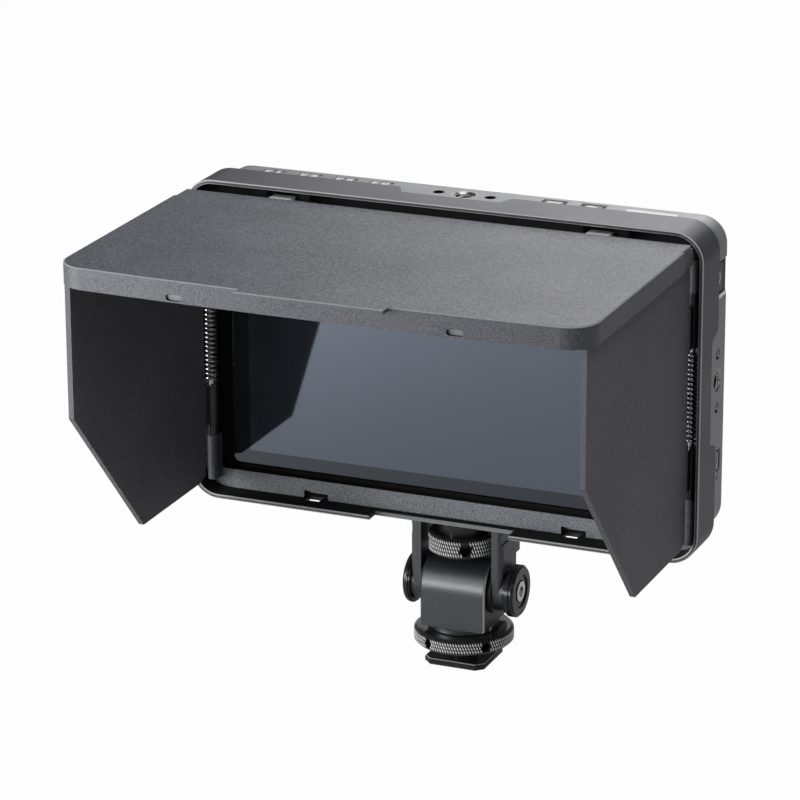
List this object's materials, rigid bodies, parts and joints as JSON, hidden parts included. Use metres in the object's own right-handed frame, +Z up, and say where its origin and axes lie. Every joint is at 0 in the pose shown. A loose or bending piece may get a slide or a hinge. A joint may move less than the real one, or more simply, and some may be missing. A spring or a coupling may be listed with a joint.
{
  "type": "camera field monitor with sun hood",
  "caption": "Flat field monitor on a tilting cold-shoe mount, with a clip-on sun hood of one lid and two sprung side flaps.",
  "frame": {"origin": "middle of the underside of the shoe foot", "axes": "+X towards the screen's right edge as the viewer sees it, +Y towards the back of the monitor, +Z up; the screen faces -Y"},
  "size_m": [0.1506, 0.1193, 0.1381],
  "materials": {
    "anodised": "black anodised, half gloss",
    "bright_screw": "bright plated",
    "steel": "blackened steel",
    "bright_steel": "plain bright steel",
    "washer": "dry acetal",
    "pad": "matt rubber",
    "housing": "fine-grained grey",
    "bezel": "matt black",
    "screen": "gloss, dark",
    "panel": "dark display cell",
    "diffuser": "white diffuser",
    "tray": "plain sheet",
    "board": "green solder mask",
    "chips": "black moulded",
    "keys": "soft matt",
    "socket_plastic": "black moulded",
    "battery_plastic": "matt black",
    "hood_plastic": "fine speckled dark grey",
    "lid_plastic": "fine speckled charcoal",
    "flap_plastic": "rough near-black"
  },
  "bodies": {
    "stand": {"shoe_foot": "anodised", "foot_post": "anodised", "tilt_block": "anodised"},
    "clamp": {"clamp_disc": "anodised"},
    "ring": {"lock_ring": "anodised"},
    "bracket": {"tilt_bracket": "anodised", "tilt_axle": "anodised", "tilt_cap_left": "anodised", "tilt_cap_right": "anodised", "tilt_socket_screw": "bright_screw", "friction_washer_left": "washer", "friction_washer_right": "washer", "bracket_pad": "pad"},
    "thumbscrew": {"mount_screw": "steel", "screw_clip": "steel", "thumbwheel": "anodised"},
    "monitor": {"rear_housing": "housing", "front_bezel": "bezel", "cover_glass": "screen", "lcd_panel": "panel", "backlight": "diffuser", "panel_tray": "tray", "board_standoffs": "tray", "main_board": "board", "board_chips": "chips", "heat_spreader": "tray", "key_switches": "chips", "switch_boards": "board", "thread_insert_top": "bright_steel", "thread_insert_side": "bright_steel", "thread_insert_bottom": "bright_steel", "side_port": "bright_steel", "hdmi_sockets": "bright_steel", "dc_socket": "socket_plastic", "audio_socket": "socket_plastic", "battery_plate": "battery_plastic", "battery_contacts": "steel", "case_screws": "bright_steel", "plate_screws": "bright_steel", "hood_frame": "hood_plastic", "hinge_collars": "hood_plastic", "flap_pin_left": "steel", "flap_pin_right": "steel", "flap_spring_left": "steel", "flap_spring_right": "steel", "lid_pins": "steel"},
    "left_flap": {"flap_left": "flap_plastic"},
    "right_flap": {"flap_right": "flap_plastic"},
    "hood_lid": {"lid": "lid_plastic", "lid_leaves": "bright_steel"},
    "latch": {"battery_latch": "battery_plastic"},
    "power_key": {"power_button": "keys", "power_ring": "bright_steel"},
    "function_key_1": {"function_button_1": "keys"},
    "function_key_2": {"function_button_2": "keys"},
    "function_key_3": {"function_button_3": "keys"},
    "function_key_4": {"function_button_4": "keys"},
    "menu_key": {"menu_button": "keys"},
    "back_key": {"back_button": "keys"}
  },
  "joints": [
    {"name": "clamp_travel", "type": "slide", "parent": "stand", "child": "clamp", "axis": [0, 0, 1], "range_m": [-0.00255, 0]},
    {"name": "ring_turn", "type": "hinge", "parent": "clamp", "child": "ring", "pos_m": [0, 0, 0.00795], "axis": [0, 0, 1], "range_deg": [-720, 0]},
    {"name": "tilt", "type": "hinge", "parent": "stand", "child": "bracket", "pos_m": [0, 0, 0.0224], "axis": [1, 0, 0], "range_deg": [-90, 90]},
    {"name": "thumbwheel_turn", "type": "hinge", "parent": "bracket", "child": "thumbscrew", "pos_m": [0, 0, 0.0359], "axis": [0, 0, 1], "continuous": true},
    {"name": "pan", "type": "hinge", "parent": "bracket", "child": "monitor", "pos_m": [0, 0, 0.0473], "axis": [0, 0, 1], "continuous": true},
    {"name": "flap_left_fold", "type": "hinge", "parent": "monitor", "child": "left_flap", "pos_m": [-0.0701, -0.0155, 0.09155], "axis": [0, 0, 1], "range_deg": [0, 90], "stiffness_Nm_per_rad": 0.005, "springref_deg": -28.65},
    {"name": "flap_right_fold", "type": "hinge", "parent": "monitor", "child": "right_flap", "pos_m": [0.07115, -0.01485, 0.09155], "axis": [0, 0, -1], "range_deg": [0, 90], "stiffness_Nm_per_rad": 0.005, "springref_deg": -28.65},
    {"name": "lid_lift", "type": "hinge", "parent": "monitor", "child": "hood_lid", "pos_m": [0, -0.0169, 0.13395], "axis": [-1, 0, 0], "range_deg": [0, 20]},
    {"name": "latch_slide", "type": "slide", "parent": "monitor", "child": "latch", "axis": [0, 0, -1], "range_m": [0, 0.003], "stiffness_N_per_m": 120, "springref_m": -0.003},
    {"name": "power_press", "type": "slide", "parent": "monitor", "child": "power_key", "axis": [-1, 0, 0], "range_m": [0, 0.0005], "stiffness_N_per_m": 500, "springref_m": -0.0006},
    {"name": "function_key_1_press", "type": "slide", "parent": "monitor", "child": "function_key_1", "axis": [0, 0, -1], "range_m": [0, 0.0005], "stiffness_N_per_m": 500, "springref_m": -0.0006},
    {"name": "function_key_2_press", "type": "slide", "parent": "monitor", "child": "function_key_2", "axis": [0, 0, -1], "range_m": [0, 0.0005], "stiffness_N_per_m": 500, "springref_m": -0.0006},
    {"name": "function_key_3_press", "type": "slide", "parent": "monitor", "child": "function_key_3", "axis": [0, 0, -1], "range_m": [0, 0.0005], "stiffness_N_per_m": 500, "springref_m": -0.0006},
    {"name": "function_key_4_press", "type": "slide", "parent": "monitor", "child": "function_key_4", "axis": [0, 0, -1], "range_m": [0, 0.0005], "stiffness_N_per_m": 500, "springref_m": -0.0006},
    {"name": "menu_key_press", "type": "slide", "parent": "monitor", "child": "menu_key", "axis": [0, 0, -1], "range_m": [0, 0.0005], "stiffness_N_per_m": 500, "springref_m": -0.0006},
    {"name": "back_key_press", "type": "slide", "parent": "monitor", "child": "back_key", "axis": [0, 0, -1], "range_m": [0, 0.0005], "stiffness_N_per_m": 500, "springref_m": -0.0006}
  ],
  "couplings": [
    {"joint": "clamp_travel", "follows": "ring_turn", "m_per_rad": 0.00020213}
  ]
}
